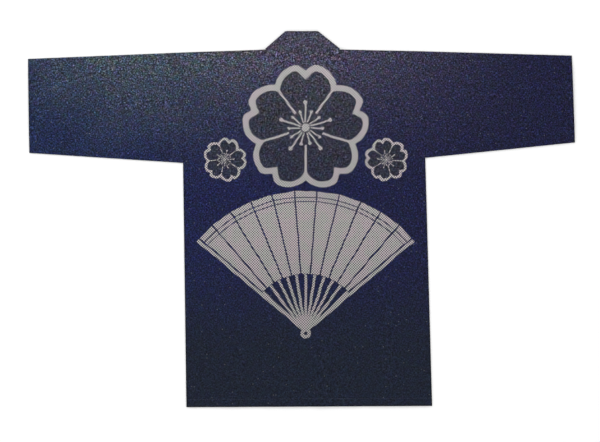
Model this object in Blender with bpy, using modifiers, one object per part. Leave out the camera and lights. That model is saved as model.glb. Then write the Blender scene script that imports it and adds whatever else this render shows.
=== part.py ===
"""Happi coat in navy cotton, laid flat with its back up: a back, two fronts, two sleeves and a collar band.

Metres. +X runs from the left sleeve to the right sleeve, +Y from the hem to the collar and +Z up from
the surface that the coat lies on. The left is the wearer's left, seen from behind.
"""

import math
from collections import namedtuple

import bmesh
import bpy
from mathutils import Vector

# Walls and gaps
CLOTH = 0.0010
COLLAR_BAND = 0.0022
SEAM_GAP = 0.0003
LAYER_GAP = 0.0006
COLLAR_FOLD_GAP = 0.0008
EDGE_ROUND = 0.0003

# Collar, measured from the middle of the body
SEAM_OFF_CENTRE = 0.0867
COLLAR_WIDTH = 0.0480
NECKLINE_DIP = 0.0085
NECK_SAG = 0.0010
CENTRE_AT_NECK = 0.0025
CENTRE_AT_HEM = 0.0182

# How the back lies over what is under it
FRONT_SHORTER = 0.0030
BAND_MARGIN = 0.0140
BAND_SLOPE = 0.0250
NECK_RISE_LENGTH = 0.0500
SIDE_SLOPE = 0.0140
CUFF_LIFT = 0.0014
CUFF_LIFT_FROM = 0.82
FLAT_EDGE_SHARE = 0.20
COLLAR_CORNER_SHARE = 0.07

# Outline of the coat as it is laid, one row for each side
Side = namedtuple("Side", "name turn neck collar_top armhole_top underarm cuff_top cuff_bottom hem")
LEFT = Side(
    name="left",
    turn=-1,
    neck=Vector((-0.0842, 0.3994)),
    collar_top=Vector((-0.0381, 0.4415)),
    armhole_top=Vector((-0.2786, 0.3915)),
    underarm=Vector((-0.2784, 0.1318)),
    cuff_top=Vector((-0.6425, 0.3764)),
    cuff_bottom=Vector((-0.6393, 0.1552)),
    hem=Vector((-0.2705, -0.4417)),
)
RIGHT = Side(
    name="right",
    turn=1,
    neck=Vector((0.0892, 0.3998)),
    collar_top=Vector((0.0389, 0.4415)),
    armhole_top=Vector((0.2905, 0.3941)),
    underarm=Vector((0.2907, 0.1437)),
    cuff_top=Vector((0.6348, 0.3842)),
    cuff_bottom=Vector((0.6421, 0.1800)),
    hem=Vector((0.3068, -0.4387)),
)

# Soft low folds in the upper layer: middle, angle in degrees, half length, half width and height
Fold = namedtuple("Fold", "x y angle length width rise")
FOLDS = (
    Fold(x=-0.205, y=0.235, angle=62, length=0.110, width=0.030, rise=0.0011),
    Fold(x=0.222, y=0.262, angle=118, length=0.120, width=0.034, rise=0.0010),
    Fold(x=-0.395, y=0.275, angle=178, length=0.150, width=0.036, rise=0.0012),
    Fold(x=0.455, y=0.300, angle=4, length=0.170, width=0.040, rise=0.0011),
    Fold(x=-0.150, y=-0.330, angle=84, length=0.190, width=0.036, rise=0.0012),
    Fold(x=0.195, y=-0.270, angle=97, length=0.230, width=0.042, rise=0.0013),
    Fold(x=0.045, y=-0.405, angle=92, length=0.120, width=0.034, rise=0.0009),
    Fold(x=-0.215, y=0.010, angle=80, length=0.130, width=0.032, rise=0.0008),
)

# Cells of each panel
UNDERARM_AT = 2 / 3
BACK_ROWS = 30
SHOULDER_COLUMNS = 10
NECK_COLUMNS = 12
FRONT_COLUMNS = 6
FRONT_ROWS = 12
LEG_ROWS = 20
TURN_ROWS = 8
NECK_ROWS = 14
BAND_COLUMNS = 4
SLEEVE_ROWS = 18
SLEEVE_CELLS = 9
SLEEVE_EDGE_CELLS = 6

# Finish
NAVY = (0.020, 0.021, 0.052)
COLLAR_NAVY = (0.030, 0.030, 0.062)
COTTON_ROUGHNESS = 0.85
RIM_ANGLE = math.radians(60)

COLLAR_HEIGHT = 2 * COLLAR_BAND + COLLAR_FOLD_GAP
TURN_RADIUS = COLLAR_HEIGHT / 2
SLEEVE_HEIGHT = 2 * CLOTH + LAYER_GAP
FREE_OFF_CENTRE = SEAM_OFF_CENTRE - COLLAR_WIDTH


def mix(first, second, share):
    return first + (second - first) * share


def ease(value, start, end):
    """Rises smoothly from 0 at start to 1 at end."""
    share = min(max((value - start) / (end - start), 0.0), 1.0)
    return share * share * (3 - 2 * share)


def crossing(first, second, y):
    """The x at which the line through two points reaches y."""
    return mix(first.x, second.x, (y - first.y) / (second.y - first.y))


def centre_x(y):
    """The middle of the body, which leans a little in the coat as laid."""
    share = (y - LEFT.hem.y) / (LEFT.neck.y - LEFT.hem.y)
    return mix(CENTRE_AT_HEM, CENTRE_AT_NECK, share)


def hem_y(x):
    return mix(LEFT.hem.y, RIGHT.hem.y, (x - LEFT.hem.x) / (RIGHT.hem.x - LEFT.hem.x))


def side_x(side, y):
    """The edge of the body: the side seam, then the armhole, half a seam's gap inside the sleeve."""
    if y < side.underarm.y:
        return crossing(side.hem, side.underarm, y)
    return crossing(side.underarm, side.armhole_top, y) - side.turn * SEAM_GAP / 2


def fold_rise(x, y):
    """Height of the soft folds of the upper layer."""
    total = 0.0
    for fold in FOLDS:
        angle = math.radians(fold.angle)
        away = Vector((x - fold.x, y - fold.y))
        along = away.dot(Vector((math.cos(angle), math.sin(angle)))) / fold.length
        across = away.dot(Vector((-math.sin(angle), math.cos(angle)))) / fold.width
        total += fold.rise * math.exp(-along * along - across * across)
    return total


def collar_turn(side):
    """The slanting fold at the neck: its seam end, its free end and the direction out of the coat."""
    slant = (side.collar_top - side.neck).normalized()
    outward = side.turn * Vector((slant.y, -slant.x))
    return side.neck + outward * TURN_RADIUS / 2, side.collar_top, outward


def collar_seam_top(side):
    """Where the band's seam edge leaves the front and turns over."""
    seam, _, outward = collar_turn(side)
    return seam - outward * TURN_RADIUS


def collar_seam_low(side):
    x = CENTRE_AT_HEM + side.turn * SEAM_OFF_CENTRE
    return Vector((x, hem_y(x) + FRONT_SHORTER))


def neckline(share):
    """The seam between back and collar, from the left neck point to the right one."""
    point = mix(collar_seam_top(LEFT), collar_seam_top(RIGHT), share)
    dip = NECKLINE_DIP * 4 * share * (1 - share)
    return Vector((point.x, point.y - dip))


def neck_sag(share):
    return NECK_SAG * math.sin(math.pi * share)


def shoulder_point(side, share):
    """The top edge of the body, from the neck to the armhole."""
    neck = collar_seam_top(side) + Vector((side.turn * SEAM_GAP, -SEAM_GAP))
    armhole = side.armhole_top - Vector((side.turn * SEAM_GAP / 2, 0))
    return mix(neck, armhole, share)


def back_top_edge(column):
    """The shoulder, the neckline and the other shoulder, one point for each column."""
    if column <= SHOULDER_COLUMNS:
        return shoulder_point(LEFT, 1 - column / SHOULDER_COLUMNS)
    column -= SHOULDER_COLUMNS
    if column < NECK_COLUMNS:
        share = (1 - math.cos(math.pi * column / NECK_COLUMNS)) / 2
        return neckline(share) - Vector((0, SEAM_GAP))
    return shoulder_point(RIGHT, (column - NECK_COLUMNS) / SHOULDER_COLUMNS)


def back_height(x, y, top):
    """The outer face of the back, over the fronts, the collar bands and the neck seam."""
    off_centre = abs(x - centre_x(y))
    inner = FREE_OFF_CENTRE - BAND_MARGIN
    outer = SEAM_OFF_CENTRE + BAND_MARGIN
    over_band = ease(off_centre, inner - BAND_SLOPE, inner) - ease(off_centre, outer, outer + BAND_SLOPE)
    under = mix(CLOTH + LAYER_GAP, COLLAR_BAND + SEAM_GAP, over_band)
    to_side = min(x - side_x(LEFT, y), side_x(RIGHT, y) - x)
    on_shoulder = ease(off_centre, SEAM_OFF_CENTRE, SEAM_OFF_CENTRE + SIDE_SLOPE)
    to_shoulder = top - y + SIDE_SLOPE * (1 - on_shoulder)
    inside = ease(min(to_side, to_shoulder), 0, SIDE_SLOPE)
    under = mix(CLOTH + SEAM_GAP, under + fold_rise(x, y), inside)
    near_neck = 1 - ease(top - y, 0, NECK_RISE_LENGTH)
    near_neck *= 1 - ease(off_centre, SEAM_OFF_CENTRE, SEAM_OFF_CENTRE + BAND_SLOPE)
    share = min(max((x - LEFT.neck.x) / (RIGHT.neck.x - LEFT.neck.x), 0), 1)
    middle_of_collar = COLLAR_HEIGHT - (COLLAR_BAND + CLOTH) / 2 - neck_sag(share)
    return mix(under, middle_of_collar, near_neck) + CLOTH


def back_point(column, row):
    """The back: straight columns from the hem to the top edge, with a row at the underarms."""
    top = back_top_edge(column)
    left = back_top_edge(0)
    right = back_top_edge(2 * SHOULDER_COLUMNS + NECK_COLUMNS)
    across = (top.x - left.x) / (right.x - left.x)
    foot = mix(LEFT.hem, RIGHT.hem, across)
    underarm = mix(LEFT.underarm.y, RIGHT.underarm.y, across)
    along = row / BACK_ROWS
    if along < UNDERARM_AT:
        y = mix(foot.y, underarm, along / UNDERARM_AT)
    else:
        y = mix(underarm, top.y, (along - UNDERARM_AT) / (1 - UNDERARM_AT))
    x = mix(side_x(LEFT, min(y, left.y)), side_x(RIGHT, min(y, right.y)), across)
    return Vector((x, y, back_height(x, y, top.y)))


def front_point(side, across, along):
    """A front, flat on its face: from the collar seam to the side, and from the hem to the shoulder."""
    low = collar_seam_low(side) + Vector((side.turn * SEAM_GAP, 0))
    shoulder = shoulder_point(side, across)
    foot_x = mix(low.x, side.hem.x, across)
    foot = Vector((foot_x, hem_y(foot_x) + FRONT_SHORTER))
    if along < UNDERARM_AT:
        y = mix(foot.y, side.underarm.y, along / UNDERARM_AT)
    else:
        y = mix(side.underarm.y, shoulder.y, (along - UNDERARM_AT) / (1 - UNDERARM_AT))
    inner = crossing(low, shoulder_point(side, 0), y)
    x = mix(inner, side_x(side, min(y, side.armhole_top.y)), across)
    return Vector((x, y, 0))


def collar_leg_point(side, across, along):
    """A band down the front, under the back, flat on its outer face."""
    _, free_top, outward = collar_turn(side)
    low = collar_seam_low(side)
    free_low = low - Vector((side.turn * COLLAR_WIDTH, 0))
    seam = mix(low, collar_seam_top(side), along)
    free = mix(free_low, free_top - outward * TURN_RADIUS, along)
    return mix(seam, free, across).to_3d()


def collar_turn_point(side, across, along):
    """The band going round the slanting fold, from the front to the back of the neck."""
    seam, free, outward = collar_turn(side)
    angle = math.pi * along
    place = mix(seam, free, across) + outward * TURN_RADIUS * (math.sin(angle) - 1)
    return Vector((place.x, place.y, TURN_RADIUS * (1 - math.cos(angle))))


def collar_neck_point(across, along):
    """The band across the back of the neck, above the two turns."""
    ends = []
    for side in (LEFT, RIGHT):
        _, free, outward = collar_turn(side)
        ends.append(free - outward * TURN_RADIUS)
    free = mix(ends[0], ends[1], along)
    to_corner = min(along, 1 - along)
    free.y = mix(free.y, LEFT.collar_top.y, ease(to_corner, 0, COLLAR_CORNER_SHARE))
    place = mix(neckline(along), free, across)
    return Vector((place.x, place.y, COLLAR_HEIGHT - neck_sag(along)))


def collar_point(column, row):
    """The whole band, from the left hem up, round the neck and down to the right hem."""
    across = column / BAND_COLUMNS
    if row <= LEG_ROWS:
        return collar_leg_point(LEFT, across, row / LEG_ROWS)
    row -= LEG_ROWS
    if row <= TURN_ROWS:
        return collar_turn_point(LEFT, across, row / TURN_ROWS)
    row -= TURN_ROWS
    if row < NECK_ROWS:
        return collar_neck_point(across, row / NECK_ROWS)
    row -= NECK_ROWS
    if row <= TURN_ROWS:
        return collar_turn_point(RIGHT, across, 1 - row / TURN_ROWS)
    row -= TURN_ROWS
    return collar_leg_point(RIGHT, across, 1 - row / LEG_ROWS)


def sleeve_point(side, cell, along):
    """A sleeve pressed flat: lower layer, fold along the top, upper layer and seam along the bottom."""
    inset = Vector((side.turn * SEAM_GAP / 2, 0))
    low = mix(side.underarm + inset, side.cuff_bottom, along)
    high = mix(side.armhole_top + inset, side.cuff_top, along)
    radius = SLEEVE_HEIGHT / 2
    up = (high - low).normalized() * radius
    span = SLEEVE_CELLS + SLEEVE_EDGE_CELLS
    upper_layer = cell >= span
    step = cell % span
    if step <= SLEEVE_CELLS:
        across = step / SLEEVE_CELLS
        across = 1 - across if upper_layer else across
        place = mix(low + up, high - up, across)
        flat = ease(across, 0, FLAT_EDGE_SHARE) * (1 - ease(across, 1 - FLAT_EDGE_SHARE, 1))
        lift = fold_rise(place.x, place.y) + CUFF_LIFT * ease(along, CUFF_LIFT_FROM, 1)
        height = SLEEVE_HEIGHT + lift * flat if upper_layer else 0
        return Vector((place.x, place.y, height))
    angle = math.pi * (step - SLEEVE_CELLS) / SLEEVE_EDGE_CELLS
    if upper_layer:
        place = low + up - up * math.sin(angle)
        return Vector((place.x, place.y, radius + radius * math.cos(angle)))
    place = high - up + up * math.sin(angle)
    return Vector((place.x, place.y, radius - radius * math.cos(angle)))


def cotton(name, colour):
    """A plain cotton for one piece."""
    material = bpy.data.materials.new(name + "_cotton")
    material.use_nodes = True
    shader = material.node_tree.nodes["Principled BSDF"]
    shader.inputs["Base Color"].default_value = (*colour, 1)
    shader.inputs["Roughness"].default_value = COTTON_ROUGHNESS
    shader.inputs["Metallic"].default_value = 0
    material.diffuse_color = (*colour, 1)
    return material


def add_piece(name, shape, wall, colour, collection):
    """Makes a named object of an open sheet or tube and gives it its wall, behind the outer face."""
    mesh = bpy.data.meshes.new(name)
    shape.to_mesh(mesh)
    shape.free()
    mesh.materials.append(cotton(name, colour))
    mesh.shade_smooth()
    piece = bpy.data.objects.new(name, mesh)
    collection.objects.link(piece)
    thickness = piece.modifiers.new("cloth wall", "SOLIDIFY")
    thickness.thickness = wall
    thickness.offset = -1
    thickness.use_even_offset = True
    rounding = piece.modifiers.new("soft rim", "BEVEL")
    rounding.width = EDGE_ROUND
    rounding.segments = 1
    rounding.limit_method = "ANGLE"
    rounding.angle_limit = RIM_ANGLE
    rounding.use_clamp_overlap = False


def sheet(columns, rows, point, outer_face_down):
    """A grid with each corner put where point(column, row) says."""
    shape = bmesh.new()
    bmesh.ops.create_grid(shape, x_segments=columns, y_segments=rows, size=0.5)
    for vert in shape.verts:
        column = round((vert.co.x + 0.5) * columns)
        row = round((vert.co.y + 0.5) * rows)
        vert.co = point(column, row)
    if outer_face_down:
        bmesh.ops.reverse_faces(shape, faces=shape.faces)
    return shape


def tube(cells, rows, point, inside_out):
    """An open tube with each corner put where point(cell, along) says."""
    shape = bmesh.new()
    bmesh.ops.create_cone(shape, cap_ends=False, segments=cells, radius1=1, radius2=1, depth=1)
    lengthwise = [edge for edge in shape.edges if abs(edge.verts[0].co.z - edge.verts[1].co.z) > 0.5]
    bmesh.ops.subdivide_edges(shape, edges=lengthwise, cuts=rows - 1, use_grid_fill=True)
    for vert in shape.verts:
        cell = round(math.atan2(vert.co.x, vert.co.y) / math.tau * cells) % cells
        vert.co = point(cell, vert.co.z + 0.5)
    if inside_out:
        bmesh.ops.reverse_faces(shape, faces=shape.faces)
    return shape


def make_back(collection):
    columns = 2 * SHOULDER_COLUMNS + NECK_COLUMNS
    shape = sheet(columns, BACK_ROWS, back_point, outer_face_down=False)
    add_piece("back", shape, CLOTH, NAVY, collection)


def make_front(side, collection):
    def point(column, row):
        across = column / FRONT_COLUMNS
        across = 1 - across if side is LEFT else across
        return front_point(side, across, row / FRONT_ROWS)

    shape = sheet(FRONT_COLUMNS, FRONT_ROWS, point, outer_face_down=True)
    add_piece("front_" + side.name, shape, CLOTH, NAVY, collection)


def make_sleeve(side, collection):
    def point(cell, along):
        return sleeve_point(side, cell, along)

    cells = 2 * (SLEEVE_CELLS + SLEEVE_EDGE_CELLS)
    shape = tube(cells, SLEEVE_ROWS, point, inside_out=side is RIGHT)
    add_piece("sleeve_" + side.name, shape, CLOTH, NAVY, collection)


def make_collar(collection):
    rows = 2 * LEG_ROWS + 2 * TURN_ROWS + NECK_ROWS
    shape = sheet(BAND_COLUMNS, rows, collar_point, outer_face_down=True)
    add_piece("collar", shape, COLLAR_BAND, COLLAR_NAVY, collection)


def main():
    for old in list(bpy.data.objects):
        bpy.data.objects.remove(old)
    coat = bpy.data.collections.new("happi_coat")
    bpy.context.scene.collection.children.link(coat)
    make_back(coat)
    for side in (LEFT, RIGHT):
        make_front(side, coat)
        make_sleeve(side, coat)
    make_collar(coat)


main()
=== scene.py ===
"""Looks for a happi coat laid flat with its back up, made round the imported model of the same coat.

Metres, in the model's own frame: +X from the left sleeve to the right sleeve, +Y from the hem to the
collar, +Z up from the surface that the coat lies on. Left is the wearer's left, seen from behind.
"""

import math
from collections import namedtuple
from functools import partial, reduce

import bmesh
import bpy
from bpy.props import FloatProperty, FloatVectorProperty, IntProperty, PointerProperty
from mathutils import Matrix, Vector, noise


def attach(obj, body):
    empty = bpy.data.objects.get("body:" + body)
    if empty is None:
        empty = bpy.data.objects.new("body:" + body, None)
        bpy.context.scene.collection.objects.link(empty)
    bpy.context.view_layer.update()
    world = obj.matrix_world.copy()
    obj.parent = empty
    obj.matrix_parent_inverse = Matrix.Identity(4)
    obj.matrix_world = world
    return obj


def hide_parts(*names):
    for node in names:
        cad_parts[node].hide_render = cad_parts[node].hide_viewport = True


bl_info = {
    "name": "Happi coat",
    "version": (1, 0, 0),
    "blender": (4, 5, 0),
    "location": "3D View > Sidebar > Happi",
    "description": "Makes the cloth, stitching, dye and back print of a happi coat laid flat",
    "category": "Object",
}

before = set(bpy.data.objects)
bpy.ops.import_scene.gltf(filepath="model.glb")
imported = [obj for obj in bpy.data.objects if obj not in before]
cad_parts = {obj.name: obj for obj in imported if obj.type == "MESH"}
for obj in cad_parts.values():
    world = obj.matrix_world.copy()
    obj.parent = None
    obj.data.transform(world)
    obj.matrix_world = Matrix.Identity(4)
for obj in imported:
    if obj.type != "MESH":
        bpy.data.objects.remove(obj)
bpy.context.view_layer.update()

# Outline of the coat as it is laid, one row for each side
Side = namedtuple("Side", "name turn neck collar_top armhole_top underarm cuff_top cuff_bottom hem")
LEFT = Side(
    name="left",
    turn=-1,
    neck=Vector((-0.0842, 0.3994)),
    collar_top=Vector((-0.0381, 0.4415)),
    armhole_top=Vector((-0.2786, 0.3915)),
    underarm=Vector((-0.2784, 0.1318)),
    cuff_top=Vector((-0.6425, 0.3764)),
    cuff_bottom=Vector((-0.6393, 0.1552)),
    hem=Vector((-0.2705, -0.4417)),
)
RIGHT = Side(
    name="right",
    turn=1,
    neck=Vector((0.0892, 0.3998)),
    collar_top=Vector((0.0389, 0.4415)),
    armhole_top=Vector((0.2905, 0.3941)),
    underarm=Vector((0.2907, 0.1437)),
    cuff_top=Vector((0.6348, 0.3842)),
    cuff_bottom=Vector((0.6421, 0.1800)),
    hem=Vector((0.3068, -0.4387)),
)

# Soft low folds in the upper layer: middle, angle in degrees, half length, half width and height
Fold = namedtuple("Fold", "x y angle length width rise")
FOLDS = (
    Fold(x=-0.205, y=0.235, angle=62, length=0.110, width=0.030, rise=0.0011),
    Fold(x=0.222, y=0.262, angle=118, length=0.120, width=0.034, rise=0.0010),
    Fold(x=-0.395, y=0.275, angle=178, length=0.150, width=0.036, rise=0.0012),
    Fold(x=0.455, y=0.300, angle=4, length=0.170, width=0.040, rise=0.0011),
    Fold(x=-0.150, y=-0.330, angle=84, length=0.190, width=0.036, rise=0.0012),
    Fold(x=0.195, y=-0.270, angle=97, length=0.230, width=0.042, rise=0.0013),
    Fold(x=0.045, y=-0.405, angle=92, length=0.120, width=0.034, rise=0.0009),
    Fold(x=-0.215, y=0.010, angle=80, length=0.130, width=0.032, rise=0.0008),
)

# Walls and gaps
CLOTH = 0.0010
COLLAR_BAND = 0.0022
SEAM_GAP = 0.00005
CAD_SEAM_GAP = 0.0003
LAYER_GAP = 0.0006
COLLAR_FOLD_GAP = 0.0008
COLLAR_HEIGHT = 2 * COLLAR_BAND + COLLAR_FOLD_GAP
TURN_RADIUS = COLLAR_HEIGHT / 2
SLEEVE_HEIGHT = 2 * CLOTH + LAYER_GAP

# Collar, measured from the middle of the body
SEAM_OFF_CENTRE = 0.0867
COLLAR_WIDTH = 0.0480
FREE_OFF_CENTRE = SEAM_OFF_CENTRE - COLLAR_WIDTH
NECKLINE_DIP = 0.0085
NECK_SAG = 0.0010
CENTRE_AT_NECK = 0.0025
CENTRE_AT_HEM = 0.0182
COLLAR_CORNER_SHARE = 0.12
COLLAR_PUFF = 0.00035

# How the back lies over what is under it
FRONT_SHORTER = 0.0030
BAND_MARGIN = 0.0140
BAND_SLOPE = 0.0250
NECK_RISE_LENGTH = 0.0500
SHOULDER_RISE_LENGTH = 0.0200
SIDE_SLOPE = 0.0140
UNDERARM_AT = 2 / 3
CUFF_LIFT = 0.0014
CUFF_LIFT_FROM = 0.82
FLAT_EDGE_SHARE = 0.20
FLAT_HEM_SHARE = 0.05

# Small relief of the cloth
WAVE_LENGTH = 0.070
WAVE_HEIGHT = 0.00016
RIPPLE_LENGTH = 0.021
RIPPLE_HEIGHT = 0.00005
FRONT_LIFT = 0.00012
SEAM_PINCH = 0.00045
PINCH_SHARE = 0.1
NEAR_SEAM = 0.0020
NECK_SEAM_BLEND = 0.05
HEM_STEP = 0.003
ARMHOLE_SLOPE = 0.004
CLOTH_RIM = 0.00042
BAND_RIM = 0.0008

# Fineness of the meshes
CELL = 0.0055
FINE_CELL = 0.0008
FINE_REACH = 0.0050
FINE_CELLS_BESIDE = 4
EDGE_CELLS = 8
TURN_CELLS = 12
BAND_CELLS = 14

# Stitches: each thread's roundness and rise in its own widths, and the steps along a line of them
THREAD_FACES = 1
THREAD_PROUD = 0.15
SEWING_STEPS = 600
SIDE_STEP = 0.002

# Share of an edge that a long or a short line of stitches leaves free at each end
LONG_END = 0.004
SHORT_END = 0.01

# Below this share of straight up, a face counts as part of a fold, and its colour gets painted shade
STEEP = 0.7

# Tones of the cloth (dye, with fade and painted sheen together towards the top left), and where one tone
# turns into the next, from start to end
DYES = ("left_navy", "middle_navy", "right_navy", "low_navy", "left_faded", "right_faded", "nep")
PLAIN_NAVY = (0.01, 0.01, 0.05)
TO_MIDDLE_NAVY = (0.50, -0.10)
TO_LEFT_NAVY = (-0.10, -0.70)
TO_LOW_NAVY = (-0.05, -0.34)
TO_RIGHT_FADED = (-0.36, 0.0)
FADES_UPWARD = (0.06, 0.40)
FADES_FROM_CUFF = (-0.72, -0.42)
FADES_FROM_RIGHT = (0.60, -0.05)
FLECKS_UPWARD = (-0.34, 0.02)
CLOUD_SIZE = 0.14
CLOUD_SHIFT = 0.15
FADING_CURVE = 1.7
FADING_AT_CUFF = 0.3

# Fleck strength low down, what height and the fade add to it as painted glints, and the tints that each
# fleck brings
FLECKS_LOW = 2.85
FLECKS_HIGH = 1.5
FLECKS_FADED = 1.7
TINT_SIZE = 0.012
TINTS = (0.26, 0.17, 0.24)
MID_TONE = (0.5, 0.5, 0.5)

# Painted shade on folds and outer edges: what they take from the whole tone
WHOLE = (1.0, 1.0, 1.0)
DEEPER_EDGE = (-0.22, -0.26, -0.46)
EDGE_CURVE = 1.6

# Slubs of the warp and the weft, and the cells that hold a pale speck, which are few
SLUB_SIZES = ((0.0046, 0.0020, 0.0030), (0.0020, 0.0046, 0.0030))
NEP_CELL = 0.006
NEP_RADIUS = 0.20
NEP_CHOICE = 0.98

# Surface of the cotton
ROUGHNESS = 0.72
ROUGHNESS_RANGE = 0.16
SMOOTHER_INK = 0.14
WEAVE_RELIEF = 0.00012
WEAVE_STRENGTH = 0.6
SHEEN_TINT = (0.70, 0.78, 1.0, 1)

# A blossom, in shares of its size: a petal's lobe and notch, the partings, the middle and the stamens
LOBE_OUT = 0.60
LOBE_ASIDE = 0.10
LOBE_RADIUS = 0.385
NOTCH_OUT = 0.885
PETAL_ROUNDING = 0.09
HEART_RADIUS = 0.5
PARTING_HALF = 0.017
PARTING_START = 0.27
STAMEN_START = 0.08
BUTTON_RADIUS = 0.065
BLOSSOM_MARGIN = 0.030
START_STEP = 0.01
Stamen = namedtuple("Stamen", "lean end half_width tip")
STAMENS = (
    Stamen(lean=0.0, end=0.40, half_width=0.013, tip=0.032),
    Stamen(lean=0.36, end=0.26, half_width=0.011, tip=0.026),
)

# How the small blossoms differ
SMALL_OUTLINE_SHARE = 0.42
SMALL_TURN = math.radians(14)

# The fan's ribs, guards and pivot, and the two thin lines near the end of its leaf
RIB_WIDTH = 0.0060
GUARD_WIDTH = 0.0075
GUARD_GAP = 0.0035
PIVOT_RADIUS = 0.0121
RIVET_RADIUS = 0.0040
LEAF_LINE = 0.0022
LEAF_LINES_AT = (0.925, 0.955)

# Stage
FLOOR_HALF = 7.0
FLOOR_DROP = 0.0003
LAMP_SIZE = 1.8
LAMP_PLACE = (-1.3, 1.9, 2.0)


def mix(first, second, share):
    return first + (second - first) * share


def ease(value, start, end):
    """Rises smoothly from 0 at start to 1 at end."""
    share = min(max((value - start) / (end - start), 0.0), 1.0)
    return share * share * (3 - 2 * share)


def bump_at(value, middle, half_width):
    """A soft bump of height 1 at the middle."""
    away = (value - middle) / half_width
    return math.exp(-away * away)


def crossing(first, second, y):
    """The x at which the line through two points reaches y."""
    return mix(first.x, second.x, (y - first.y) / (second.y - first.y))


def level_at(first, second, x):
    """The y at which the line through two points reaches x."""
    return mix(first.y, second.y, (x - first.x) / (second.x - first.x))


def centre_x(y):
    """The middle of the body, which leans a little in the coat as laid."""
    share = (y - LEFT.hem.y) / (LEFT.neck.y - LEFT.hem.y)
    return mix(CENTRE_AT_HEM, CENTRE_AT_NECK, share)


def hem_y(x):
    return level_at(LEFT.hem, RIGHT.hem, x)


def side_x(side, y):
    """The edge of the body: the side seam, then the armhole."""
    if y < side.underarm.y:
        return crossing(side.hem, side.underarm, y)
    return crossing(side.underarm, side.armhole_top, y) - side.turn * SEAM_GAP / 2


def fold_rise(x, y):
    """Height of the soft folds of the upper layer."""
    total = 0.0
    for fold in FOLDS:
        angle = math.radians(fold.angle)
        away_x = x - fold.x
        away_y = y - fold.y
        along = (away_x * math.cos(angle) + away_y * math.sin(angle)) / fold.length
        across = (away_y * math.cos(angle) - away_x * math.sin(angle)) / fold.width
        total += fold.rise * math.exp(-along * along - across * across)
    return total


def waves(x, y):
    """The faint unevenness that woven cotton keeps when it lies flat."""
    wave = noise.noise(Vector((x, y, 0)) / WAVE_LENGTH) * WAVE_HEIGHT
    return wave + noise.noise(Vector((x, y, 1)) / RIPPLE_LENGTH) * RIPPLE_HEIGHT


def stitch_place(sewing):
    """How far a hem's stitches are from its edge."""
    return sewing.hem_width - sewing.stitch_inset


def stitch_dip(from_edge, sewing):
    """How far the cloth is drawn in along a hem's stitches."""
    return sewing.stitch_dip * bump_at(from_edge, stitch_place(sewing), sewing.dip_width)


def hem_relief(from_edge, sewing):
    """A hem turned in once: raised as far as its inner edge, and drawn down along its stitches."""
    turned = 1 - ease(from_edge, sewing.hem_width, sewing.hem_width + HEM_STEP)
    return sewing.hem_rise * turned - stitch_dip(from_edge, sewing)


def collar_turn(side):
    """The slanting fold at the neck: its seam end, its free end and the direction out of the coat."""
    slant = (side.collar_top - side.neck).normalized()
    outward = side.turn * Vector((slant.y, -slant.x))
    return side.neck + outward * TURN_RADIUS / 2, side.collar_top, outward


def turn_shift(side, across):
    """How far the band's edges stand in from its slanting fold. The free edge stays level."""
    _, _, outward = collar_turn(side)
    level = Vector((side.turn / abs(outward.x), 0))
    return mix(outward, level, across) * TURN_RADIUS


def collar_seam_top(side):
    """Where the band's seam edge leaves the front and turns over."""
    seam, _, _ = collar_turn(side)
    return seam - turn_shift(side, 0)


def collar_seam_low(side):
    x = CENTRE_AT_HEM + side.turn * SEAM_OFF_CENTRE
    return Vector((x, hem_y(x) + FRONT_SHORTER))


def neckline(share):
    """The seam between back and collar, from the left neck point to the right one."""
    point = mix(collar_seam_top(LEFT), collar_seam_top(RIGHT), share)
    dip = NECKLINE_DIP * 4 * share * (1 - share)
    return Vector((point.x, point.y - dip))


def neck_sag(share):
    return NECK_SAG * math.sin(math.pi * share)


def shoulder_point(side, share):
    """The top edge of the body, from the neck to the armhole."""
    neck = collar_seam_top(side) + Vector((side.turn * SEAM_GAP, -CAD_SEAM_GAP))
    armhole = side.armhole_top - Vector((side.turn * SEAM_GAP / 2, 0))
    return mix(neck, armhole, share)


def body_top(x):
    """The shoulders and the neckline at one x."""
    left = shoulder_point(LEFT, 0)
    right = shoulder_point(RIGHT, 0)
    if x <= left.x:
        return level_at(left, shoulder_point(LEFT, 1), x)
    if x >= right.x:
        return level_at(right, shoulder_point(RIGHT, 1), x)
    share = (x - left.x) / (right.x - left.x)
    inside = ease(share * (1 - share), 0, NECK_SEAM_BLEND)
    return neckline(share).y - mix(CAD_SEAM_GAP, SEAM_GAP, inside)


def places(length, cell, lines=()):
    """Shares of a length about a cell apart, with fine ones beside each stitch line."""
    count = max(1, round(length / cell))
    found = [index * length / count for index in range(count + 1)]
    for line in lines:
        found = [place for place in found if abs(place - line) > FINE_REACH or place in (0, length)]
        steps = range(-FINE_CELLS_BESIDE, FINE_CELLS_BESIDE + 1)
        found += [line + step * FINE_CELL for step in steps]
    return [place / length for place in sorted(found)]


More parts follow.
